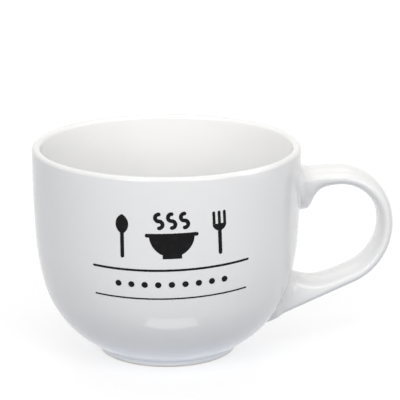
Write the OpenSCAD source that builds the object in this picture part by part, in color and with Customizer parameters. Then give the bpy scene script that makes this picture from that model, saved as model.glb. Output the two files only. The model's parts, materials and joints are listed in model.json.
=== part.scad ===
// Stoneware soup mug with a strap handle. Millimetres, +Z up.
// The origin is the middle of the standing ring on the table, the handle
// points along +X and the printed band faces -Y.

/* [Cup] */
// Outside diameter at the rim, over the glaze
rim_d = 124.6; // [112:0.2:140]
// Height from the table to the top of the rim
cup_h = 98; // [90:1:110]
// Thickness of the wall, glaze included
wall_t = 3.8; // [3:0.1:5.5]
// Thickness of the floor over the recess, glaze included
floor_t = 6; // [4.5:0.5:9]
// Height of the upright band at the rim
band_h = 10.7; // [6:0.1:16]

/* [Side curve] */
// Lean of the side where the flat upper curve ends, degrees
lean_upper = 3.4; // [2:0.2:5]
// Lean of the side where the middle curve ends, degrees
lean_middle = 13.4; // [11:0.2:16]
// Lean of the side where the belly meets the foot, degrees
lean_foot = 64; // [58:1:68]
// Radius of the upper curve, as a multiple of the middle one
flatness = 4.2; // [3:0.1:6]

/* [Foot] */
// Outside diameter of the foot, over the glaze
foot_d = 65.2; // [60:0.2:74]
// Height at which the belly meets the foot
foot_h = 2.8; // [2.6:0.1:5]
// Width of the standing ring
ring_w = 5; // [3:0.5:8]
// Depth of the recess inside the ring
recess_h = 3; // [2.6:0.1:4]
// Radius of the rounded corner in the recess
recess_round = 1.2; // [0.8:0.1:1.6]
// Radius of the cove between belly and foot
cove_r = 2.6; // [1:0.1:3]
// Rounding of the standing ring's two edges
edge_r = 0.6; // [0.3:0.1:0.7]

/* [Glaze and slip] */
// Thickness of the glaze
glaze_t = 0.3; // [0.2:0.05:0.5]
// Height of bare clay above the table
bare_h = 0.8; // [0.8:0.1:1.1]
// Thickness of the slip that joins the handle to the wall
slip_t = 0.8; // [0.5:0.1:1.5]

/* [Handle] */
// Furthest reach of the handle from the mug's axis, over the glaze
handle_reach = 106.3; // [100:0.1:114]
// Distance from the rim down to the handle's crest, over the glaze
handle_drop = 11.8; // [9:0.1:16]
// Height at which the strap's middle line runs into the belly
handle_low = 17.4; // [14:0.1:22]
// Width of the strap, over the glaze
handle_w = 21; // [16:0.5:26]
// Thickness of the strap, over the glaze
handle_t = 7.9; // [6:0.1:10]
// How much thinner the strap is at its furthest reach
handle_thin = 1; // [0:0.1:2]
// Radius of the upper bend, at the strap's middle line
upper_bend_r = 22.6; // [19:0.1:25]
// Radius of the lower bend, at the strap's middle line
lower_bend_r = 27.3; // [24:0.1:30]
// Slope at which the upper bend passes into the lower one, degrees
bend_split = 79; // [65:1:90]
// Radius of the slight dip from the crest back to the wall
root_bend_r = 120; // [70:5:200]

/* [Handle roots] */
// How far the upper root spreads down the wall
heel_h = 11.1; // [6:0.1:16]
// Distance from the wall at which half of that spread is left
heel_l = 5.8; // [4:0.1:9]
// How far the lower root spreads up the wall
toe_h = 12; // [6:0.5:16]
// Distance from the wall at which half of that spread is left
toe_l = 18.3; // [12:0.1:22]
// How far each root spreads to the sides and over the top
collar_h = 3; // [1:0.1:4]
// Distance from the wall at which half of that spread is left
collar_l = 2.2; // [1.5:0.1:4]

/* [Print] */
// Thickness of the fired print
print_t = 0.12; // [0.08:0.02:0.2]
// Distance from the rim down to the upper rule
upper_rule_drop = 42; // [40:0.5:45]
// Length of the upper rule, measured straight across
upper_rule_l = 68; // [50:0.5:80]
// Thickness of the upper rule
upper_rule_t = 1; // [0.5:0.1:1.5]
// Distance from the rim down to the lower rule
lower_rule_drop = 55.6; // [53:0.2:58]
// Length of the lower rule, measured straight across
lower_rule_l = 66.5; // [50:0.5:80]
// Thickness of the lower rule
lower_rule_t = 0.7; // [0.4:0.1:1.2]
// Turn of the whole print around the wall, degrees
print_turn = -0.9; // [-3:0.1:3]
// Tilt of the whole print, degrees
print_tilt = 1.4; // [0:0.1:3]
// Slope by which the lines of the print climb towards both ends, degrees
print_slope = 5; // [0:0.5:8]
// Diameter of the dots between the rules
dot_d = 2.8; // [1.2:0.1:3.6]
// Distance between the dots
dot_step = 6; // [4:0.1:6.5]
// Number of dots
dot_n = 9; // [5:1:11]
// Gap between the upper rule and the pictures over it
picture_gap = 5.4; // [3:0.1:7]
// Width of the strokes in the pictures
stroke_w = 1.7; // [1.2:0.1:1.9]
// Width of the pictured bowl
bowl_w = 20; // [16:0.5:24]
// Width of the pictured bowl's rim
bowl_rim_w = 23.5; // [20:0.5:28]
// Width of the pictured bowl's foot
bowl_foot_w = 8.5; // [5:0.5:12]
// Gap between the bowl's rim and the steam
steam_gap = 1.7; // [1:0.1:2.5]
// Height of the steam
steam_h = 8; // [7.7:0.1:10]
// Distance between the curls of steam
steam_step = 5.6; // [5:0.1:7]
// Height of the spoon and the fork
cutlery_h = 20; // [17:0.5:22]
// Height of their heads
head_h = 9; // [7:0.5:11]
// Width of the spoon's head
spoon_w = 5.8; // [4:0.2:7]
// Width of each tine of the fork
tine_w = 1.3; // [0.9:0.1:1.5]
// Distance between the tines
tine_step = 2.5; // [2:0.1:3]
// Distance of the spoon and the fork from the middle, around the wall
cutlery_step = 22; // [19:0.5:26]

/* [Hidden] */
$fn = 96;

clay_white = [0.93, 0.92, 0.90];
slip_white = [0.90, 0.89, 0.87];
glaze_white = [0.96, 0.96, 0.97];
ink_black = [0.10, 0.10, 0.11];

// Outer side: an upright band, then three arcs that run into each other
rim_r = rim_d / 2;
foot_r = foot_d / 2;
lip_r = wall_t / 2;
lip_z = cup_h - lip_r;
side_top = cup_h - band_h;
upper_dir = [cos(lean_upper), -sin(lean_upper)];
middle_dir = [cos(lean_middle), -sin(lean_middle)];
foot_dir = [cos(lean_foot), -sin(lean_foot)];
// Run and drop that one millimetre of radius gives to each arc
middle_run = flatness * (1 - upper_dir.x) + upper_dir.x - middle_dir.x;
middle_drop = -flatness * upper_dir.y + upper_dir.y - middle_dir.y;
lower_run = middle_dir.x - foot_dir.x;
lower_drop = middle_dir.y - foot_dir.y;
side_run = rim_r - foot_r;
side_drop = side_top - foot_h;
middle_r = (side_drop * lower_run - side_run * lower_drop)
    / (middle_drop * lower_run - middle_run * lower_drop);
upper_r = flatness * middle_r;
lower_r = (side_drop - middle_r * middle_drop) / lower_drop;
upper_c = [rim_r - upper_r, side_top];
middle_c = upper_c + (upper_r - middle_r) * upper_dir;
lower_c = middle_c + (middle_r - lower_r) * middle_dir;

// Inner side: the same wall thickness down to the belly, then one arc to a flat floor
floor_z = recess_h + floor_t;
hollow_r = (middle_c.y + (middle_r - wall_t) * middle_dir.y - floor_z) / (1 + middle_dir.y);
hollow_c = middle_c + (middle_r - wall_t - hollow_r) * middle_dir;

// Cove between belly and foot, and the recess inside the standing ring
cove_c = [foot_r + cove_r,
    lower_c.y - sqrt(pow(lower_r + cove_r, 2) - pow(foot_r + cove_r - lower_c.x, 2))];
lean_cove = atan2(lower_c.y - cove_c.y, cove_c.x - lower_c.x);
recess_r = foot_r - glaze_t - ring_w;

// Outer radius of the glazed side at a height
function arc_r(c, r, z) = c.x + sqrt(r * r - (z - c.y) * (z - c.y));
function side_r(z) =
    z > side_top ? rim_r
    : z > upper_c.y + upper_r * upper_dir.y ? arc_r(upper_c, upper_r, z)
    : z > middle_c.y + middle_r * middle_dir.y ? arc_r(middle_c, middle_r, z)
    : arc_r(lower_c, lower_r, z);

// Points along an arc, both ends included
function arc(c, r, from, to, n) =
    [for (i = [0 : n]) let (a = from + (to - from) * i / n) c + r * [cos(a), sin(a)]];
function turned(points) = [for (i = [len(points) - 1 : -1 : 0]) points[i]];
few = 4;
many = 16;

// Profile of the outside from the foot up to the lip, inset from the glazed surface
function side_line(inset) = concat(
    [[foot_r - inset, bare_h]],
    arc(cove_c, cove_r + inset, 180, 180 - lean_cove, few),
    arc(lower_c, lower_r - inset, -lean_cove, -lean_middle, many),
    arc(middle_c, middle_r - inset, -lean_middle, -lean_upper, few),
    arc(upper_c, upper_r - inset, -lean_upper, 0, few)
);
// The same with the outer half of the lip, up to its crest
function outer_line(inset) = concat(
    side_line(inset),
    arc([rim_r - lip_r, lip_z], lip_r - inset, 0, 90, few)
);
// Profile of the inside from the crest of the lip down to the middle of the floor
function inner_line(inset) = concat(
    arc([rim_r - lip_r, lip_z], lip_r - inset, 90, 180, few),
    arc(upper_c, upper_r - wall_t + inset, 0, -lean_upper, few),
    arc(middle_c, middle_r - wall_t + inset, -lean_upper, -lean_middle, few),
    arc(hollow_c, hollow_r + inset, -lean_middle, -90, many),
    [[0, floor_z - inset]]
);
// Profile of the recess from its middle to the inner side of the standing ring
function recess_line(inset) = let (c = recess_round + inset) concat(
    [[0, recess_h + inset]],
    arc([recess_r - glaze_t - recess_round, recess_h - recess_round], c, 90, 0, few),
    [[recess_r - glaze_t + inset, bare_h]]
);
// Profile of the standing ring's bare clay
ring_line = concat(
    arc([recess_r + edge_r, edge_r], edge_r, 180, 270, few),
    arc([foot_r - glaze_t - edge_r, edge_r], edge_r, 270, 360, few)
);

// Strap's middle line: a slight dip from the wall to the crest, two bends, a straight run
half_w = handle_w / 2;
half_t = handle_t / 2;
lower_bend_x = handle_reach - half_t + handle_thin / 2 - lower_bend_r;
crest = [lower_bend_x + (lower_bend_r - upper_bend_r) * sin(bend_split), cup_h - handle_drop - half_t];
lower_bend_c = [lower_bend_x, crest.y - upper_bend_r - (lower_bend_r - upper_bend_r) * cos(bend_split)];
low_end = [side_r(handle_low), handle_low];
to_low_end = low_end - lower_bend_c;
run_angle = atan2(to_low_end.y, to_low_end.x) + acos(lower_bend_r / norm(to_low_end));
run_start = lower_bend_c + lower_bend_r * [cos(run_angle), sin(run_angle)];
run_dir = [sin(run_angle), -cos(run_angle)];
run_l = norm(low_end - run_start);
// Both ends run on inside the wall, where they are cut off
sunk_l = handle_t + wall_t;
wall_r = side_r(crest.y);
root_turn = asin((crest.x - wall_r + sunk_l) / root_bend_r);
bend_steps = 10;
root_steps = 16;
sides = 24;

// Height halfway between the two joints
split_z = (handle_low + crest.y) / 2;

// The pictures stand on one line over the upper rule, the dots run halfway between the rules
upper_rule_z = cup_h - upper_rule_drop;
lower_rule_z = cup_h - lower_rule_drop;
picture_z = upper_rule_z + picture_gap;
bowl_rim_z = picture_z + stroke_w / 2 + bowl_w / 2;
dot_z = (upper_rule_z + lower_rule_z) / 2;

// Each station: place on the middle line, direction of travel, distance from each wall joint
far = 1000;
stations = concat(
    [for (i = [0 : root_steps - 1]) let (a = root_turn * (1 - i / root_steps),
        p = crest - root_bend_r * [sin(a), 1 - cos(a)])
        [p, a, abs(p.x - wall_r), far]],
    [for (i = [0 : bend_steps - 1]) let (a = bend_split * i / bend_steps,
        p = crest + upper_bend_r * [sin(a), cos(a) - 1])
        [p, -a, p.x - wall_r, far]],
    [for (i = [0 : bend_steps - 1]) let (a = bend_split + (90 - run_angle - bend_split) * i / bend_steps)
        [lower_bend_c + lower_bend_r * [sin(a), cos(a)], -a, far, run_l]],
    [for (i = [0 : root_steps]) let (s = (run_l + sunk_l) * i / root_steps)
        [run_start + s * run_dir, run_angle - 90, far, abs(run_l - s)]]
);

// Spread that dies away from a wall joint, softly or sharply
soft = 3;
sharp = 5;
function spread(h, l, d, fall) = h / (1 + pow(d / l, fall));

// One ring of the strap: an oval, thinner where it runs upright, deeper towards the hand near the roots
function ring(s, inset) =
    let (
        up = [-sin(s[1]), cos(s[1])],
        top_collar = spread(collar_h, collar_l, s[2], soft),
        low_collar = spread(collar_h, collar_l, s[3], soft),
        flat = half_t - inset - handle_thin / 2 * pow(sin(s[1]), 2),
        outer = flat + top_collar,
        inner = flat + spread(heel_h, heel_l, s[2], soft) + spread(toe_h, toe_l, s[3], sharp),
        side = half_w - inset + top_collar + low_collar
    )
    [for (k = [0 : sides - 1])
        let (a = 360 * k / sides, n = sin(a) * (sin(a) > 0 ? outer : inner), p = s[0] + n * up)
        [p.x, side * cos(a), p.y]];
function tube(inset) = [for (s = stations) each ring(s, inset)];

// Faces between the rings of a tube whose points start at a number
n_rings = len(stations);
last_ring = (n_rings - 1) * sides;
function skin(start) = [for (i = [0 : n_rings - 2], k = [0 : sides - 1])
    let (a = start + i * sides + k, b = start + i * sides + (k + 1) % sides)
    each [[a, a + sides, b], [b, a + sides, b + sides]]];

// The strap as one tube, still running into the wall at both ends
module strap(inset) {
    first = [for (k = [1 : sides - 2]) [0, k, k + 1]];
    last = [for (k = [1 : sides - 2]) [last_ring, last_ring + k + 1, last_ring + k]];
    polyhedron(tube(inset), concat(skin(0), first, last));
}

// The coat on the strap: two tubes, one inside the other, closed at the ends
module strap_coat() {
    inside = n_rings * sides;
    ends = [for (k = [0 : sides - 1]) let (b = (k + 1) % sides) each [
        [k, b, inside + k], [b, inside + b, inside + k],
        [last_ring + b, last_ring + k, inside + last_ring + k],
        [inside + last_ring + b, last_ring + b, inside + last_ring + k]]];
    inner_skin = [for (f = skin(inside)) turned(f)];
    polyhedron(concat(tube(0), tube(glaze_t)), concat(skin(0), inner_skin, ends));
}

// Turns the space between two profile lines
module layer(line, other_line) {
    rotate_extrude() polygon(concat(line, turned(other_line)));
}

// Everything inside the outer surface, as a solid
module wall_solid(inset) {
    layer(side_line(inset), [[0, bare_h], [0, side_top]]);
}

module cup_body() {
    color(clay_white) layer(
        concat(recess_line(glaze_t), ring_line, outer_line(glaze_t), inner_line(glaze_t)), []);
}

module handle() {
    color(clay_white) difference() {
        strap(glaze_t);
        wall_solid(glaze_t - slip_t);
    }
}

// Slip between one end of the handle and the wall, within a range of heights
module slip_joint(z_low, z_high) {
    color(slip_white) intersection() {
        strap(glaze_t);
        layer(side_line(glaze_t - slip_t), side_line(glaze_t));
        translate([0, -handle_w, z_low]) cube([rim_d, 2 * handle_w, z_high - z_low]);
    }
}

module upper_slip_joint() {
    slip_joint(split_z, cup_h);
}

module lower_slip_joint() {
    slip_joint(0, split_z);
}

module outer_glaze() {
    color(glaze_white) difference() {
        layer(outer_line(0), outer_line(glaze_t));
        strap(glaze_t);
    }
}

module inner_glaze() {
    color(glaze_white) layer(inner_line(0), inner_line(glaze_t));
}

module base_glaze() {
    color(glaze_white) layer(recess_line(0), recess_line(glaze_t));
}

module handle_glaze() {
    color(glaze_white) difference() {
        strap_coat();
        wall_solid(0);
    }
}

// Flat artwork laid onto the wall, turned around the axis and set at a height,
// on a line that tilts and climbs towards both ends of the print
module printed(turn, z) {
    r = side_r(z);
    climb = r * (sin(turn) * tan(print_tilt) + (1 - cos(turn)) * tan(print_slope));
    lean = print_tilt + atan(sin(turn) * tan(print_slope));
    color(ink_black) intersection() {
        layer(side_line(-print_t), side_line(0));
        rotate([90 + print_slope, 0, turn + print_turn]) linear_extrude(rim_d)
            translate([0, (z + climb) * cos(print_slope) + r * sin(print_slope)])
                rotate(lean) children();
    }
}

// A straight stroke with round ends, upwards from the origin
module stroke(l, w) {
    translate([-w / 2, 0]) square([w, l]);
    circle(d = w);
    translate([0, l]) circle(d = w);
}

// A level stroke with round ends, centred on the origin
module rule(l, w) {
    rotate(90) translate([0, -l / 2]) stroke(l, w);
}

module print_upper_rule() {
    printed(0, upper_rule_z) rule(upper_rule_l, upper_rule_t);
}

module print_lower_rule() {
    printed(0, lower_rule_z) rule(lower_rule_l, lower_rule_t);
}

// Angle that a distance around the wall takes at a height
function turn_of(l, z) = l / side_r(z) * 180 / PI;

// A row of dots around the wall
module print_dots() {
    for (i = [0 : dot_n - 1])
        printed((i - (dot_n - 1) / 2) * turn_of(dot_step, dot_z), dot_z) circle(d = dot_d);
}

// Bowl: half a disc under a rim, on a low foot
module print_bowl() {
    printed(0, bowl_rim_z) {
        intersection() {
            circle(d = bowl_w);
            translate([-bowl_w / 2, -bowl_w / 2]) square([bowl_w, bowl_w / 2]);
        }
        rule(bowl_rim_w - stroke_w, stroke_w);
        translate([0, -bowl_w / 2]) square([bowl_foot_w, stroke_w], center = true);
    }
}

// Three curls of steam, each of two half rings
module print_steam() {
    curl_r = (steam_h - stroke_w) / 4;
    printed(0, bowl_rim_z + stroke_w + steam_gap + curl_r)
        for (i = [-1 : 1]) translate([i * steam_step, 0]) {
            half_ring(curl_r, 1);
            translate([0, 2 * curl_r]) half_ring(curl_r, -1);
            for (z = [-curl_r, 3 * curl_r]) translate([0, z]) circle(d = stroke_w);
        }
}

// Half a ring to the right (way 1) or to the left (way -1)
module half_ring(r, way) {
    outer = r + stroke_w / 2;
    intersection() {
        difference() {
            circle(outer);
            circle(r - stroke_w / 2);
        }
        translate([way > 0 ? 0 : -outer, -outer]) square([outer, 2 * outer]);
    }
}

// Shaft of the spoon and the fork, up into the head
module shaft() {
    translate([0, stroke_w / 2]) stroke(cutlery_h - head_h, stroke_w);
}

// Spoon: a pointed oval on a shaft
module print_spoon() {
    oval_r = (head_h * head_h / spoon_w + spoon_w) / 4;
    printed(-turn_of(cutlery_step, picture_z), picture_z) {
        shaft();
        translate([0, cutlery_h - head_h / 2]) intersection_for (way = [-1, 1])
            translate([way * (oval_r - spoon_w / 2), 0]) circle(oval_r);
    }
}

// Fork: three tines on a round yoke
module print_fork() {
    yoke_r = tine_step + tine_w / 2;
    printed(turn_of(cutlery_step, picture_z), picture_z) {
        shaft();
        translate([0, cutlery_h - head_h + yoke_r]) {
            intersection() {
                circle(yoke_r);
                translate([-yoke_r, -yoke_r]) square([2 * yoke_r, yoke_r]);
            }
            for (i = [-1 : 1]) translate([i * tine_step, -tine_w / 2])
                stroke(head_h - yoke_r, tine_w);
        }
    }
}

cup_body();
handle();
upper_slip_joint();
lower_slip_joint();
outer_glaze();
inner_glaze();
base_glaze();
handle_glaze();
print_upper_rule();
print_lower_rule();
print_dots();
print_bowl();
print_steam();
print_spoon();
print_fork();
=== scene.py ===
import json
import math

import bmesh
import bpy
import numpy as np
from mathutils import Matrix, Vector

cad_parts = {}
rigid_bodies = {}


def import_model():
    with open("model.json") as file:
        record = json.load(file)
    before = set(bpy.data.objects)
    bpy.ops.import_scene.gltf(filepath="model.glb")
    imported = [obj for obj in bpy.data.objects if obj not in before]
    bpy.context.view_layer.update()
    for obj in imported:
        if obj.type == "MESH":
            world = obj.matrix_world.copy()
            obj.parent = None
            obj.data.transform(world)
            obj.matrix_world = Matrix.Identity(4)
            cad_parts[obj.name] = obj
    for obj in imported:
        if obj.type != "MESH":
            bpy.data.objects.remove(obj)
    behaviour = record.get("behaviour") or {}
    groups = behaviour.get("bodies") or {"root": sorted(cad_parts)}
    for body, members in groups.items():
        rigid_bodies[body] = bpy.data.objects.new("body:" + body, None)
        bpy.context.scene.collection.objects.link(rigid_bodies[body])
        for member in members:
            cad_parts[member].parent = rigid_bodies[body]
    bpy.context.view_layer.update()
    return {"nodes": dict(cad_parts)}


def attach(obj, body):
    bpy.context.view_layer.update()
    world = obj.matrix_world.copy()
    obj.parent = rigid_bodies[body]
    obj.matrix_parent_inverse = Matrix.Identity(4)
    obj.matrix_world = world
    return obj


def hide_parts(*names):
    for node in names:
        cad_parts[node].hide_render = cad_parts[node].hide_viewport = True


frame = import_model()
nodes = frame["nodes"]
scene = bpy.context.scene
mm = 0.001
print("frame:", len(nodes), "nodes")

# kinds and settings of the nodes that come up most
mathNode, mixNode = "ShaderNodeMath", "ShaderNodeMix"
noiseNode, rangeNode = "ShaderNodeTexNoise", "ShaderNodeMapRange"
plus, minus, times, larger = ({"operation": k} for k in ("ADD", "SUBTRACT", "MULTIPLY", "MAXIMUM"))
sine, cosine, timesPlus = ({"operation": k} for k in ("SINE", "COSINE", "MULTIPLY_ADD"))
over, colors = {"operation": "GREATER_THAN"}, {"data_type": "RGBA"}


def hexColor(text):  # sRGB hex to linear RGBA
    levels = [int(text[i:i + 2], 16) / 255 for i in (1, 3, 5)]
    return [v / 12.92 if v <= 0.04045 else ((v + 0.055) / 1.055) ** 2.4 for v in levels] + [1.0]


def addNode(tree, kind, settings=None, inputs=None):
    node = tree.nodes.new(kind)
    for name, value in (settings or {}).items():
        setattr(node, name, value)
    for name, value in (inputs or {}).items():
        socket = node.inputs[name]
        if isinstance(value, bpy.types.NodeSocket):
            tree.links.new(value, socket)
        else:
            socket.default_value = value
    return node


def newMaterial(name):
    material = bpy.data.materials.new(name)
    material.use_nodes = True
    tree = material.node_tree
    tree.nodes.clear()
    out = addNode(tree, "ShaderNodeOutputMaterial")
    shader = addNode(tree, "ShaderNodeBsdfPrincipled")
    tree.links.new(shader.outputs["BSDF"], out.inputs["Surface"])
    where = addNode(tree, "ShaderNodeTexCoord").outputs["Object"]
    return material, tree, shader, where


def perMm(size):  # texture scale for a feature of this size in millimetres
    return 1 / (size * mm)


# camera: found by fitting the rim, foot and sides of the cup in the photograph
view = {"place": (-0.0415, -0.849, 0.30855), "turn": 3.84, "dip": 15.62, "lens": 170.07, "sensor": 36,
        "near": 0.05, "far": 20}
camera = bpy.data.objects.new("camera", bpy.data.cameras.new("camera"))
scene.collection.objects.link(camera)
camera.data.lens, camera.data.sensor_width = view["lens"], view["sensor"]
camera.data.clip_start, camera.data.clip_end = view["near"], view["far"]
camera.location = view["place"]
turn, dip = math.radians(view["turn"]), math.radians(view["dip"])
ahead = Vector((math.sin(turn) * math.cos(dip), math.cos(turn) * math.cos(dip), -math.sin(dip)))
camera.rotation_mode = "QUATERNION"
camera.rotation_quaternion = ahead.to_track_quat("-Z", "Y")
scene.camera = camera
print("camera set")

# opaque white glaze, dipped and fired: even white, a mirror-like skin that swells a little
# where the dip ran, with a rare iron speck
glazeLook = {"white": "#f0f0ef", "cool": "#ecedee", "cloudMm": 45, "rough": (0.05, 0.1), "ior": 1.5,
             "speck": "#8f8880", "speckCellMm": 11, "speckOver": 0.96, "speckFade": (0.035, 0.015),
             "swellMm": 14, "swell": 0.5, "swellH": 0.00008, "peelMm": 2.2, "peel": 0.35, "peelH": 0.000006}
glaze, tree, shader, where = newMaterial("opaqueWhiteGlaze")
cloud = addNode(tree, noiseNode, None, {"Vector": where, "Scale": perMm(glazeLook["cloudMm"]), "Detail": 2})
tint = addNode(tree, mixNode, colors, {"Factor": cloud.outputs["Fac"], "A": hexColor(glazeLook["white"]),
                                       "B": hexColor(glazeLook["cool"])})
cell = addNode(tree, "ShaderNodeTexVoronoi", None,
               {"Vector": where, "Scale": perMm(glazeLook["speckCellMm"])})
pick = addNode(tree, "ShaderNodeSeparateColor", None, {"Color": cell.outputs["Color"]})
rare = addNode(tree, mathNode, over, {0: pick.outputs["Red"], 1: glazeLook["speckOver"]})
fadeFrom, fadeTo = glazeLook["speckFade"]
dot = addNode(tree, rangeNode, None,
              {"Value": cell.outputs["Distance"], "From Min": fadeFrom, "From Max": fadeTo})
speck = addNode(tree, mathNode, times, {0: rare.outputs[0], 1: dot.outputs[0]})
body = addNode(tree, mixNode, colors, {"Factor": speck.outputs[0], "A": tint.outputs["Result"],
                                       "B": hexColor(glazeLook["speck"])})
tree.links.new(body.outputs["Result"], shader.inputs["Base Color"])
swell = addNode(tree, noiseNode, None, {"Vector": where, "Scale": perMm(glazeLook["swellMm"]), "Detail": 1})
peel = addNode(tree, noiseNode, None, {"Vector": where, "Scale": perMm(glazeLook["peelMm"]), "Detail": 1})
skin = addNode(tree, "ShaderNodeBump", None, {"Strength": glazeLook["swell"], "Distance": glazeLook["swellH"],
                                              "Height": swell.outputs["Fac"]})
skin = addNode(tree, "ShaderNodeBump", None, {"Strength": glazeLook["peel"], "Distance": glazeLook["peelH"],
                                              "Height": peel.outputs["Fac"], "Normal": skin.outputs[0]})
tree.links.new(skin.outputs["Normal"], shader.inputs["Normal"])
smoothest, roughest = glazeLook["rough"]
sheen = addNode(tree, rangeNode, None,
                {"Value": cloud.outputs["Fac"], "To Min": smoothest, "To Max": roughest})
tree.links.new(sheen.outputs[0], shader.inputs["Roughness"])
shader.inputs["IOR"].default_value = glazeLook["ior"]

# bisque stoneware where no glaze runs: dry, matt, pale buff, with a fine sandy grain
clayLook = {"pale": "#eceae6", "buff": "#e0dcd4", "blotchMm": 9, "grainMm": 0.6, "grain": 0.6,
            "grainH": 0.00005, "rough": 0.85}
clay, tree, shader, where = newMaterial("bisqueStoneware")
blotch = addNode(tree, noiseNode, None, {"Vector": where, "Scale": perMm(clayLook["blotchMm"]), "Detail": 5})
tint = addNode(tree, mixNode, colors, {"Factor": blotch.outputs["Fac"], "A": hexColor(clayLook["pale"]),
                                       "B": hexColor(clayLook["buff"])})
tree.links.new(tint.outputs["Result"], shader.inputs["Base Color"])
grain = addNode(tree, noiseNode, None, {"Vector": where, "Scale": perMm(clayLook["grainMm"]), "Detail": 3})
skin = addNode(tree, "ShaderNodeBump", None, {"Strength": clayLook["grain"], "Distance": clayLook["grainH"],
                                              "Height": grain.outputs["Fac"]})
tree.links.new(skin.outputs["Normal"], shader.inputs["Normal"])
shader.inputs["Roughness"].default_value = clayLook["rough"]

# casting slip dried and fired in the joints: like the clay, smoother and a little greyer
slipLook = {"pale": "#dcd7ce", "grey": "#cbc6bd", "blotchMm": 5, "rough": 0.75}
slip, tree, shader, where = newMaterial("firedSlip")
blotch = addNode(tree, noiseNode, None, {"Vector": where, "Scale": perMm(slipLook["blotchMm"]), "Detail": 3})
tint = addNode(tree, mixNode, colors, {"Factor": blotch.outputs["Fac"], "A": hexColor(slipLook["pale"]),
                                       "B": hexColor(slipLook["grey"])})
tree.links.new(tint.outputs["Result"], shader.inputs["Base Color"])
shader.inputs["Roughness"].default_value = slipLook["rough"]

# black ceramic decal, screened and fired onto the glaze: near black with thinner, greyer patches
# and pin-sized breaks in the film, with a duller shine than the glaze under it
inkLook = {"black": "#0b0b0d", "thin": "#1c1c1f", "patchMm": 3.5, "patchFade": (0.48, 0.72),
           "break": "#6a6b6d", "breakCellMm": 1.6, "breakOver": 0.93, "breakFade": (0.14, 0.06),
           "rough": 0.18, "ior": 1.5, "gloss": 0.14}
ink, tree, shader, where = newMaterial("firedDecalInk")
patch = addNode(tree, noiseNode, None, {"Vector": where, "Scale": perMm(inkLook["patchMm"]), "Detail": 4})
fadeFrom, fadeTo = inkLook["patchFade"]
thin = addNode(tree, rangeNode, None,
               {"Value": patch.outputs["Fac"], "From Min": fadeFrom, "From Max": fadeTo})
tint = addNode(tree, mixNode, colors, {"Factor": thin.outputs[0], "A": hexColor(inkLook["black"]),
                                       "B": hexColor(inkLook["thin"])})
cell = addNode(tree, "ShaderNodeTexVoronoi", None,
               {"Vector": where, "Scale": perMm(inkLook["breakCellMm"])})
pick = addNode(tree, "ShaderNodeSeparateColor", None, {"Color": cell.outputs["Color"]})
rare = addNode(tree, mathNode, over, {0: pick.outputs["Green"], 1: inkLook["breakOver"]})
fadeFrom, fadeTo = inkLook["breakFade"]
dot = addNode(tree, rangeNode, None,
              {"Value": cell.outputs["Distance"], "From Min": fadeFrom, "From Max": fadeTo})
hole = addNode(tree, mathNode, times, {0: rare.outputs[0], 1: dot.outputs[0]})
film = addNode(tree, mixNode, colors, {"Factor": hole.outputs[0], "A": tint.outputs["Result"],
                                       "B": hexColor(inkLook["break"])})
tree.links.new(film.outputs["Result"], shader.inputs["Base Color"])
shader.inputs["Roughness"].default_value = inkLook["rough"]
shader.inputs["IOR"].default_value = inkLook["ior"]
shader.inputs["Specular IOR Level"].default_value = inkLook["gloss"]
print("materials made")

# cup: the sizes of the part's own source, in millimetres and degrees
cup = {"rimD": 124.6, "height": 98, "wall": 3.8, "floorZ": 9, "bandH": 10.7, "leanUpper": 3.4,
       "leanMiddle": 13.4, "leanFoot": 64, "flatness": 4.2, "footD": 65.2, "footH": 2.8, "coveR": 2.6,
       "bareH": 0.8, "glaze": 0.3, "ringW": 5, "recessH": 3, "recessRound": 1.2, "segments": 192}
# points on each stretch of the turned lines
stops = {"floor": 8, "belly": 36, "middle": 10, "upper": 12, "lip": 25, "corner": 9, "bead": 7}


def leanDir(lean):
    return np.array([math.cos(math.radians(lean)), -math.sin(math.radians(lean))])


def arcPoints(center, radius, start, end, count):
    angles = np.radians(np.linspace(start, end, count))
    return [(center[0] + radius * math.cos(a), center[1] + radius * math.sin(a)) for a in angles]


# side of the cup: an upright band, then three arcs that run into each other
rimR, footR, lipR = cup["rimD"] / 2, cup["footD"] / 2, cup["wall"] / 2
lip = np.array([rimR - lipR, cup["height"] - lipR])
sideTop = cup["height"] - cup["bandH"]
upperDir, middleDir, footDir = (leanDir(cup[k]) for k in ("leanUpper", "leanMiddle", "leanFoot"))
# run and drop for each millimetre of the middle and the lower radius
middleStep = cup["flatness"] * (np.array([1, 0]) - upperDir) + upperDir - middleDir
lowerStep = middleDir - footDir
middleR, lowerR = np.linalg.solve(np.column_stack([middleStep, lowerStep]),
                                  [rimR - footR, sideTop - cup["footH"]])
upperR = cup["flatness"] * middleR
upperC = np.array([rimR - upperR, sideTop])
middleC = upperC + (upperR - middleR) * upperDir
lowerC = middleC + (middleR - lowerR) * middleDir
hollowR = (middleC[1] + (middleR - cup["wall"]) * middleDir[1] - cup["floorZ"]) / (1 + middleDir[1])
hollowC = middleC + (middleR - cup["wall"] - hollowR) * middleDir
coveX = footR + cup["coveR"]
coveC = np.array([coveX, lowerC[1] - math.sqrt((lowerR + cup["coveR"]) ** 2 - (coveX - lowerC[0]) ** 2)])
leanCove = math.degrees(math.atan2(lowerC[1] - coveC[1], coveC[0] - lowerC[0]))


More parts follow.
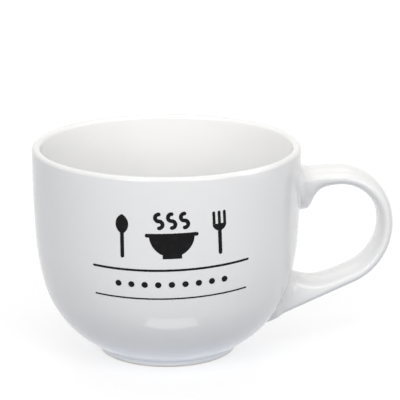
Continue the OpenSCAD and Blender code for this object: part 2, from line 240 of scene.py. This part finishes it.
def coatLine(inset):  # from the middle of the floor up, over the lip and down to the foot
    wall = cup["wall"] - inset
    upper, middle = cup["leanUpper"], cup["leanMiddle"]
    line = [(hollowC[0] * k / stops["floor"], cup["floorZ"] - inset) for k in range(stops["floor"])]
    line += arcPoints(hollowC, hollowR + inset, -90, -middle, stops["belly"])
    line += arcPoints(middleC, middleR - wall, -middle, -upper, stops["middle"])[1:]
    line += arcPoints(upperC, upperR - wall, -upper, 0, stops["upper"])[1:]
    line += arcPoints(lip, lipR - inset, 180, 0, stops["lip"])
    line += arcPoints(upperC, upperR - inset, 0, -upper, stops["upper"])
    line += arcPoints(middleC, middleR - inset, -upper, -middle, stops["middle"])[1:]
    line += arcPoints(lowerC, lowerR - inset, -middle, -leanCove, stops["belly"])[1:]
    return line + arcPoints(coveC, cup["coveR"] + inset, 180 - leanCove, 180, stops["corner"])[1:]


# the glaze ends in a soft bead a little above the table
beadR = cup["glaze"] / 2
bead = arcPoints((footR - beadR, cup["bareH"] + beadR), beadR, 0, -180, stops["bead"])
coat = coatLine(0) + bead + coatLine(cup["glaze"])[::-1]

# under the foot the glaze fills the recess inside the bare standing ring
recessR = footR - 2 * cup["glaze"] - cup["ringW"]
recessCorner = (recessR - cup["recessRound"], cup["recessH"] - cup["recessRound"])


def recessLine(inset):
    line = [(recessCorner[0] * k / stops["floor"], cup["recessH"] + inset) for k in range(stops["floor"])]
    line += arcPoints(recessCorner, cup["recessRound"] + inset, 90, 0, stops["corner"])
    return line + [(recessR + inset, cup["bareH"])]


recess = recessLine(0) + recessLine(cup["glaze"])[::-1]


def potterWheel():  # turns a half profile round the upright axis
    tree = bpy.data.node_groups.new("potterWheel", "GeometryNodeTree")
    tree.interface.new_socket("Profile", in_out="INPUT", socket_type="NodeSocketGeometry")
    ask = [tree.interface.new_socket("Segments", in_out="INPUT", socket_type="NodeSocketInt"),
           tree.interface.new_socket("Finish", in_out="INPUT", socket_type="NodeSocketMaterial")]
    tree.interface.new_socket("Turned", in_out="OUTPUT", socket_type="NodeSocketGeometry")
    start, end = addNode(tree, "NodeGroupInput"), addNode(tree, "NodeGroupOutput")
    profile = start.outputs["Profile"]
    size = addNode(tree, "GeometryNodeAttributeDomainSize", {"component": "MESH"}, {"Geometry": profile})
    length = size.outputs["Point Count"]
    columns = addNode(tree, mathNode, plus, {0: start.outputs["Segments"], 1: 1})
    grid = addNode(tree, "GeometryNodeMeshGrid", None,
                   {"Size X": 1, "Size Y": 1, "Vertices X": columns.outputs[0], "Vertices Y": length})
    place = addNode(tree, "GeometryNodeInputPosition")
    flat = addNode(tree, "ShaderNodeSeparateXYZ", None, {0: place.outputs[0]})
    around = addNode(tree, mathNode, times, {0: flat.outputs["X"], 1: 2 * math.pi})
    up = addNode(tree, mathNode, plus, {0: flat.outputs["Y"], 1: 0.5})
    last = addNode(tree, mathNode, minus, {0: length, 1: 1})
    row = addNode(tree, mathNode, times, {0: up.outputs[0], 1: last.outputs[0]})
    row = addNode(tree, mathNode, {"operation": "ROUND"}, {0: row.outputs[0]})
    point = addNode(tree, "GeometryNodeSampleIndex", {"data_type": "FLOAT_VECTOR", "domain": "POINT"},
                    {"Geometry": profile, "Value": place.outputs[0], "Index": row.outputs[0]})
    half = addNode(tree, "ShaderNodeSeparateXYZ", None, {0: point.outputs["Value"]})
    side = addNode(tree, mathNode, cosine, {0: around.outputs[0]})
    front = addNode(tree, mathNode, sine, {0: around.outputs[0]})
    x = addNode(tree, mathNode, times, {0: half.outputs["X"], 1: side.outputs[0]})
    y = addNode(tree, mathNode, times, {0: half.outputs["X"], 1: front.outputs[0]})
    spot = addNode(tree, "ShaderNodeCombineXYZ", None,
                   {"X": x.outputs[0], "Y": y.outputs[0], "Z": half.outputs["Z"]})
    turned = addNode(tree, "GeometryNodeSetPosition", None,
                     {"Geometry": grid.outputs["Mesh"], "Position": spot.outputs[0]})
    seam = 1e-6  # joins the last column to the first
    joined = addNode(tree, "GeometryNodeMergeByDistance", None,
                     {"Geometry": turned.outputs[0], "Distance": seam})
    real = addNode(tree, "GeometryNodeRealizeInstances", None, {"Geometry": joined.outputs[0]})
    done = addNode(tree, "GeometryNodeSetMaterial", None,
                   {"Geometry": real.outputs[0], "Material": start.outputs["Finish"]})
    tree.links.new(done.outputs[0], end.inputs["Turned"])
    return tree, [socket.identifier for socket in ask]


def linkMesh(name, mesh):
    piece = bpy.data.objects.new(name, mesh)
    scene.collection.objects.link(piece)
    return piece


def bakeTree(piece, tree, values):  # runs a node tree on a piece and keeps the result as a plain mesh
    modifier = piece.modifiers.new(tree.name, "NODES")
    modifier.node_group = tree
    for key, value in values.items():
        modifier[key] = value
    bpy.context.view_layer.update()
    made = bpy.data.meshes.new_from_object(piece.evaluated_get(bpy.context.evaluated_depsgraph_get()))
    piece.modifiers.remove(modifier)
    piece.data = made
    return piece


def faceOut(piece, merge=1e-7, sharp=0.9):  # merged seams, normals outwards, smooth but for sharp edges
    work = bmesh.new()
    work.from_mesh(piece.data)
    bmesh.ops.remove_doubles(work, verts=work.verts, dist=merge)
    bmesh.ops.recalc_face_normals(work, faces=work.faces)
    for face in work.faces:
        face.smooth = True
    for edge in work.edges:
        edge.smooth = edge.calc_face_angle(0) < sharp
    work.to_mesh(piece.data)
    work.free()
    return piece


def dress(piece, slotName, *replaced):
    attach(piece, "root")
    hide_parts(*replaced)


wheel, (segmentsKey, finishKey) = potterWheel()
turnedCoats = (("cupGlaze", coat, ("outer_glaze", "inner_glaze")), ("baseGlaze", recess, ("base_glaze",)))
for name, line, replaced in turnedCoats:
    mesh = bpy.data.meshes.new(name)
    edges = [(i, i + 1) for i in range(len(line) - 1)]
    mesh.from_pydata([(r * mm, 0, z * mm) for r, z in line], edges, [])
    piece = bakeTree(linkMesh(name, mesh), wheel, {segmentsKey: cup["segments"], finishKey: glaze})
    dress(faceOut(piece), "glaze", *replaced)
    print(name, len(piece.data.polygons), "faces")

# handle: a flat oval strap, thinner where it runs upright, sponged onto the wall with soft hollow corners;
# heel, toe and collar are how far the strap swells at a joint, how far that reaches and how fast it dies
handle = {"reach": 106.3, "drop": 11.8, "low": 17.4, "width": 21, "thick": 7.9, "thin": 1,
          "upperBend": 22.6, "lowerBend": 27.3, "split": 79, "rootBend": 120, "heel": (11.1, 5.8, 3),
          "toe": (12, 18.3, 5), "collar": (3, 2.2, 3), "corner": (2.0, 1.2), "sideCorner": (7.0, 6.0),
          "sunk": 12, "sink": 0.05, "sides": 72, "rows": 260, "stations": (120, 80, 80, 160)}


def sideR(z):  # outer radius of the cup at a height
    if z > sideTop:
        return rimR
    arcs = ((upperC, upperR, upperDir), (middleC, middleR, middleDir), (lowerC, lowerR, None))
    for center, radius, low in arcs:
        if low is None or z > center[1] + radius * low[1]:
            return center[0] + math.sqrt(radius ** 2 - (z - center[1]) ** 2)


def offWall(points):  # distance from the cup's outside and the way straight out of it
    reach = np.hypot(points[..., 0], points[..., 1])
    height = points[..., 2]
    gap, outR, outZ = reach - rimR, np.ones_like(reach), np.zeros_like(reach)
    arcs = ((upperC, upperR, 0), (middleC, middleR, cup["leanUpper"]), (lowerC, lowerR, cup["leanMiddle"]))
    for center, radius, top in arcs:
        dr, dz = reach - center[0], height - center[1]
        far = np.hypot(dr, dz)
        below = np.degrees(np.arctan2(-dz, dr)) > top
        gap = np.where(below, far - radius, gap)
        outR, outZ = np.where(below, dr / far, outR), np.where(below, dz / far, outZ)
    out = np.stack([outR * points[..., 0] / reach, outR * points[..., 1] / reach, outZ], axis=-1)
    return gap, out


halfW, halfT = handle["width"] / 2, handle["thick"] / 2
split = math.radians(handle["split"])
bendX = handle["reach"] - halfT + handle["thin"] / 2 - handle["lowerBend"]
wider = handle["lowerBend"] - handle["upperBend"]
crest = np.array([bendX + wider * math.sin(split), cup["height"] - handle["drop"] - halfT])
bendC = np.array([bendX, crest[1] - handle["upperBend"] - wider * math.cos(split)])
lowEnd = np.array([sideR(handle["low"]), handle["low"]])
toEnd = lowEnd - bendC
runAngle = math.atan2(toEnd[1], toEnd[0]) + math.acos(handle["lowerBend"] / np.hypot(*toEnd))
runStart = bendC + handle["lowerBend"] * np.array([math.cos(runAngle), math.sin(runAngle)])
runDir = np.array([math.sin(runAngle), -math.cos(runAngle)])
runL = np.hypot(*(lowEnd - runStart))
wallR = sideR(crest[1])
rootTurn = math.asin((crest[0] - wallR + handle["sunk"]) / handle["rootBend"])


def spread(size, d):  # swelling that dies away from a joint
    return size[0] / (1 + (d / size[1]) ** size[2])


away = 1e3  # too far from a joint to feel it
rootCount, upperCount, lowerCount, runCount = handle["stations"]
stations = []  # place, heading, distance from the upper and the lower joint
for a in np.linspace(rootTurn, 0, rootCount, endpoint=False):
    p = crest - handle["rootBend"] * np.array([math.sin(a), 1 - math.cos(a)])
    stations.append((p, a, abs(p[0] - wallR), away))
for a in np.linspace(0, split, upperCount, endpoint=False):
    p = crest + handle["upperBend"] * np.array([math.sin(a), math.cos(a) - 1])
    stations.append((p, -a, p[0] - wallR, away))
for a in np.linspace(split, math.pi / 2 - runAngle, lowerCount, endpoint=False):
    p = bendC + handle["lowerBend"] * np.array([math.sin(a), math.cos(a)])
    stations.append((p, -a, away, runL))
for s in np.linspace(0, runL + handle["sunk"], runCount):
    stations.append((runStart + s * runDir, runAngle - math.pi / 2, away, abs(runL - s)))

turns = np.linspace(0, 2 * math.pi, handle["sides"], endpoint=False)
tube = np.empty((len(stations), len(turns), 3))
for i, (p, heading, top, low) in enumerate(stations):
    topCollar, lowCollar = spread(handle["collar"], top), spread(handle["collar"], low)
    flat = halfT - handle["thin"] / 2 * math.sin(heading) ** 2
    inner = flat + spread(handle["heel"], top) + spread(handle["toe"], low)
    across = np.sin(turns) * np.where(np.sin(turns) > 0, flat + topCollar, inner)
    tube[i, :, 0] = p[0] - math.sin(heading) * across
    tube[i, :, 1] = (halfW + topCollar + lowCollar) * np.cos(turns)
    tube[i, :, 2] = p[1] + math.cos(heading) * across


def gridNormals(points):  # outward normals of a tube of rings
    along = np.gradient(points, axis=0)
    around = np.roll(points, -1, axis=1) - np.roll(points, 1, axis=1)
    normal = np.cross(around, along)
    return normal / np.linalg.norm(normal, axis=-1, keepdims=True)


def alongLines(values, cuts):  # values on each line of the tube at fractional ring numbers
    low = np.clip(np.floor(cuts).astype(int), 0, len(values) - 2)
    share = (cuts - low)[..., None]
    lines = np.arange(values.shape[1])[None, :]
    return values[low, lines] * (1 - share) + values[low + 1, lines] * share


gap, _ = offWall(tube)
first, last = np.empty(len(turns)), np.empty(len(turns))
for k in range(len(turns)):  # each line starts and ends just under the cup's surface
    outside = np.nonzero(gap[:, k] > -handle["sink"])[0]
    i, j = outside[0], outside[-1]
    first[k] = i - (gap[i, k] + handle["sink"]) / (gap[i, k] - gap[i - 1, k])
    last[k] = j + (gap[j, k] + handle["sink"]) / (gap[j, k] - gap[j + 1, k])
steps = np.linspace(0, 1, handle["rows"])
steps = 0.5 * steps + 0.5 * (0.5 - 0.5 * np.cos(math.pi * steps))  # closer rows near the joints
cuts = first[None, :] + steps[:, None] * (last - first)[None, :]
strap, outward = alongLines(tube, cuts), alongLines(gridNormals(tube), cuts)
gap, _ = offWall(strap)
depth = gap + handle["sink"]
upperHalf = (steps < 0.5)[:, None]
corner = np.where(upperHalf, *handle["corner"])
sideCorner = np.where(upperHalf, *handle["sideCorner"])
corner = corner + (sideCorner - corner) * np.cos(turns)[None, :] ** 2
short = np.clip(corner - depth, 0, corner)
swellOut = corner - np.sqrt(corner ** 2 - short ** 2)
strap = strap + outward * swellOut[..., None]
for _ in range(3):  # back to the same distance from the wall, so that the corner meets it flush
    now, out = offWall(strap)
    strap = strap - np.where(short > 0, now - gap, 0)[..., None] * out
under = strap - cup["glaze"] * gridNormals(strap)
rows, sides = strap.shape[:2]
faces = []
for base, flip in ((0, False), (rows * sides, True)):
    for i in range(rows - 1):
        for k in range(sides):
            quad = [base + i * sides + k, base + i * sides + (k + 1) % sides,
                    base + (i + 1) * sides + (k + 1) % sides, base + (i + 1) * sides + k]
            faces.append(quad[::-1] if flip else quad)
for row in (0, rows - 1):  # closes the coat at both joints
    for k in range(sides):
        a, b = row * sides + k, row * sides + (k + 1) % sides
        faces.append([a, b, b + rows * sides, a + rows * sides])
mesh = bpy.data.meshes.new("handleGlaze")
mesh.from_pydata((np.concatenate([strap, under]).reshape(-1, 3) * mm).tolist(), [], faces)
mesh.materials.append(glaze)
piece = faceOut(linkMesh("handleGlaze", mesh))
dress(piece, "glaze", "handle_glaze")
print("handleGlaze", len(mesh.polygons), "faces")

# row of dots: thin discs of ink set round the wall between the two rules
dots = {"count": 9, "size": 2.8, "step": 6, "height": 49.2, "turn": -0.9, "tilt": 1.4, "slope": 5,
        "film": 0.12, "sunk": 0.02, "corners": 40}


def dotRow():  # stamps a disc at even steps along a line that tilts and climbs with the print
    tree = bpy.data.node_groups.new("dotRow", "GeometryNodeTree")
    ask = {"Count": "Int", "Corners": "Int", "Size": "Float", "Film": "Float", "Radius": "Float",
           "Height": "Float", "Step Angle": "Float", "Turn": "Float", "Lean": "Float", "Flare": "Float",
           "Tilt": "Float", "Climb": "Float", "Finish": "Material"}
    keys = {}
    for name, kind in ask.items():
        socket = tree.interface.new_socket(name, in_out="INPUT", socket_type="NodeSocket" + kind)
        keys[name] = socket.identifier
    tree.interface.new_socket("Dots", in_out="OUTPUT", socket_type="NodeSocketGeometry")
    start, end = addNode(tree, "NodeGroupInput"), addNode(tree, "NodeGroupOutput")
    given = start.outputs
    radius = addNode(tree, mathNode, times, {0: given["Size"], 1: 0.5})
    disc = addNode(tree, "GeometryNodeMeshCylinder", None,
                   {"Vertices": given["Corners"], "Radius": radius.outputs[0], "Depth": given["Film"]})
    points = addNode(tree, "GeometryNodePoints", None, {"Count": given["Count"]})
    number = addNode(tree, "GeometryNodeInputIndex")
    lastOne = addNode(tree, mathNode, minus, {0: given["Count"], 1: 1})
    middle = addNode(tree, mathNode, times, {0: lastOne.outputs[0], 1: 0.5})
    offset = addNode(tree, mathNode, minus, {0: number.outputs[0], 1: middle.outputs[0]})
    angle = addNode(tree, mathNode, times, {0: offset.outputs[0], 1: given["Step Angle"]})
    aside = addNode(tree, mathNode, sine, {0: angle.outputs[0]})
    ahead = addNode(tree, mathNode, cosine, {0: angle.outputs[0]})
    bow = addNode(tree, mathNode, minus, {0: 1, 1: ahead.outputs[0]})
    slant = addNode(tree, mathNode, times, {0: aside.outputs[0], 1: given["Tilt"]})
    rise = addNode(tree, mathNode, timesPlus, {0: bow.outputs[0], 1: given["Climb"], 2: slant.outputs[0]})
    lift = addNode(tree, mathNode, times, {0: rise.outputs[0], 1: given["Radius"]})
    z = addNode(tree, mathNode, plus, {0: lift.outputs[0], 1: given["Height"]})
    wide = addNode(tree, mathNode, timesPlus, {0: lift.outputs[0], 1: given["Flare"], 2: given["Radius"]})
    turned = addNode(tree, mathNode, plus, {0: angle.outputs[0], 1: given["Turn"]})
    aside = addNode(tree, mathNode, sine, {0: turned.outputs[0]})
    ahead = addNode(tree, mathNode, cosine, {0: turned.outputs[0]})
    x = addNode(tree, mathNode, times, {0: wide.outputs[0], 1: aside.outputs[0]})
    back = addNode(tree, mathNode, times, {0: wide.outputs[0], 1: ahead.outputs[0]})
    y = addNode(tree, mathNode, times, {0: back.outputs[0], 1: -1})
    spot = addNode(tree, "ShaderNodeCombineXYZ", None,
                   {"X": x.outputs[0], "Y": y.outputs[0], "Z": z.outputs[0]})
    laid = addNode(tree, "GeometryNodeSetPosition", None,
                   {"Geometry": points.outputs[0], "Position": spot.outputs[0]})
    tipped = addNode(tree, mathNode, plus, {0: given["Lean"], 1: math.pi / 2})
    facing = addNode(tree, "ShaderNodeCombineXYZ", None, {"X": tipped.outputs[0], "Z": turned.outputs[0]})
    stamped = addNode(tree, "GeometryNodeInstanceOnPoints", None,
                      {"Points": laid.outputs[0], "Instance": disc.outputs["Mesh"],
                       "Rotation": facing.outputs[0]})
    real = addNode(tree, "GeometryNodeRealizeInstances", None, {"Geometry": stamped.outputs[0]})
    done = addNode(tree, "GeometryNodeSetMaterial", None,
                   {"Geometry": real.outputs[0], "Material": given["Finish"]})
    tree.links.new(done.outputs[0], end.inputs["Dots"])
    return tree, keys


tree, keys = dotRow()
dotR = sideR(dots["height"])
lean = math.asin((middleC[1] - dots["height"]) / middleR)
values = {"Count": dots["count"], "Corners": dots["corners"],
          "Size": dots["size"] * mm, "Film": dots["film"] * mm,
          "Radius": (dotR + dots["film"] / 2 - dots["sunk"]) * mm, "Height": dots["height"] * mm,
          "Step Angle": dots["step"] / dotR, "Turn": math.radians(dots["turn"]), "Lean": lean,
          "Flare": math.tan(lean), "Tilt": math.tan(math.radians(dots["tilt"])),
          "Climb": math.tan(math.radians(dots["slope"])), "Finish": ink}
piece = linkMesh("inkDots", bpy.data.meshes.new("inkDots"))
bakeTree(piece, tree, {keys[n]: v for n, v in values.items()})
dress(piece, "ink", "print_dots")
print("inkDots", len(piece.data.polygons), "faces")

# the part's own solids that show or fill the inside keep their shape and take a finish
finishes = {"cup_body": clay, "handle": clay, "upper_slip_joint": slip, "lower_slip_joint": slip}
finishes.update({n: ink for n in nodes if n.startswith("print_")})
for name, material in finishes.items():
    nodes[name].data.materials.clear()
    nodes[name].data.materials.append(material)
print("finishes set on", len(finishes), "solids")

# stage: a plain pale floor under white surroundings
stage = {"floorR": 6, "sides": 64, "drop": 0.0001, "floor": "#a8acb4", "rough": 0.9, "glow": "#fffcf6",
         "glowLevel": 0.65, "world": 0.3}


def seenAsWhite(tree):  # 1 for what the camera sees, straight, in gloss or through glass, and 0 for light
    path = addNode(tree, "ShaderNodeLightPath").outputs
    seen = addNode(tree, mathNode, larger, {0: path["Is Camera Ray"], 1: path["Is Glossy Ray"]})
    return addNode(tree, mathNode, larger, {0: seen.outputs[0], 1: path["Is Transmission Ray"]})


floorMesh = bpy.data.meshes.new("floor")
angles = np.linspace(0, 2 * math.pi, stage["sides"], endpoint=False)
ring = [(stage["floorR"] * math.cos(a), stage["floorR"] * math.sin(a), -stage["drop"]) for a in angles]
floorMesh.from_pydata(ring, [], [list(range(stage["sides"]))])
floor = linkMesh("floor", floorMesh)
paper, tree, shader, _ = newMaterial("paleSweepPaper")
shader.inputs["Base Color"].default_value = hexColor(stage["floor"])
shader.inputs["Roughness"].default_value = stage["rough"]
shader.inputs["Specular IOR Level"].default_value = 0
shader.inputs["Emission Color"].default_value = hexColor(stage["glow"])
glow = addNode(tree, mathNode, times, {0: seenAsWhite(tree).outputs[0], 1: stage["glowLevel"]})
tree.links.new(glow.outputs[0], shader.inputs["Emission Strength"])
floorMesh.materials.append(paper)

world = bpy.data.worlds.new("studio")
scene.world = world
world.use_nodes = True
tree = world.node_tree
tree.nodes.clear()
level = addNode(tree, rangeNode, None,
                {"Value": seenAsWhite(tree).outputs[0], "To Min": stage["world"], "To Max": 1})
sky = addNode(tree, "ShaderNodeBackground", None, {"Color": (1, 1, 1, 1), "Strength": level.outputs[0]})
addNode(tree, "ShaderNodeOutputWorld", None, {"Surface": sky.outputs[0]})

# light: soft boxes over and beside the mug, and small lamps near it that leave the floor as it is,
# so that the floor keeps its shadow
mugOnly = bpy.data.collections.new("mugOnly")
for piece in scene.objects:
    if piece.type == "MESH" and piece != floor:
        mugOnly.objects.link(piece)
mugMiddle, warmWhite = (0, 0, 0.05), "#fffdfb"
softBoxes = {
    "topFront": {"size": (0.75, 0.35), "place": (0.02, -0.65, 0.95), "watts": 3.0},
    "topStrip": {"size": (0.9, 0.15), "place": (0, 0.1, 0.95), "watts": 1.5},
    "frontLeft": {"size": (0.9, 0.9), "place": (-0.92, -1.35, 0.75), "watts": 9.9},
    "frontRight": {"size": (0.9, 0.9), "place": (0.92, -1.35, 0.75), "watts": 8.1},
    "right": {"size": (0.9, 0.9), "place": (1.5, 0, 0.5), "watts": 2.2},
    "backHigh": {"size": (0.9, 0.5), "place": (0, 0.75, 0.85), "watts": 0.8},
    "backFill": {"size": (1.6, 0.9), "place": (0, 1.6, 0.6), "watts": 13, "glossy": False},  # lifts the back
    "mouthFill": {"size": (0.088, 0.012), "place": (-0.004, -0.043, 0.1), "aim": (0.016, -0.013, 0.194),
                  "watts": 0.041, "glossy": False, "lights": mugOnly},  # lifts the top of the far inside
    "tableSheen": {"size": (0.044, 0.015), "place": (0, -0.0745, 0.0005), "aim": (0, -0.0745, 1),
                   "watts": 0.0024, "spread": 120, "diffuse": False},  # a card that only shows in the glaze
}

# rings of low strips give the light that a bright table throws up under the belly
gleams = {
    "bellyGleam": {"ringR": 0.044, "size": (0.025, 0.016), "lift": 0.0005, "aimZ": 9, "watts": 0.0005},
    "footGleam": {"ringR": 0.038, "size": (0.019, 0.0012), "lift": 0.0009, "aimZ": 0.039, "watts": 0.00007},
}
gleamCount, coolWhite = 12, "#e6eeff"
for name, gleam in gleams.items():
    for i in range(gleamCount):
        around = 2 * math.pi * i / gleamCount
        softBoxes[f"{name}{i}"] = {
            "size": gleam["size"], "aim": (0, 0, gleam["aimZ"]), "watts": gleam["watts"],
            "place": (gleam["ringR"] * math.cos(around), gleam["ringR"] * math.sin(around), gleam["lift"]),
            "tint": coolWhite, "glossy": False, "lights": mugOnly}
for name, box in softBoxes.items():
    lamp = bpy.data.lights.new(name, "AREA")
    lamp.shape, lamp.size, lamp.size_y = "RECTANGLE", *box["size"]
    lamp.energy = box["watts"]
    lamp.spread = math.radians(box.get("spread", 180))
    lamp.color = hexColor(box.get("tint", warmWhite))[:3]
    light = bpy.data.objects.new(name, lamp)
    scene.collection.objects.link(light)
    light.location = box["place"]
    aim = Vector(box.get("aim", mugMiddle)) - Vector(box["place"])
    light.rotation_euler = aim.to_track_quat("-Z", "Y").to_euler()
    light.visible_camera = False
    light.visible_diffuse = box.get("diffuse", True)
    light.visible_glossy = box.get("glossy", True)
    light.light_linking.receiver_collection = box.get("lights")  # none means that it lights everything
scene.view_settings.view_transform = "Standard"
print("stage and light set")
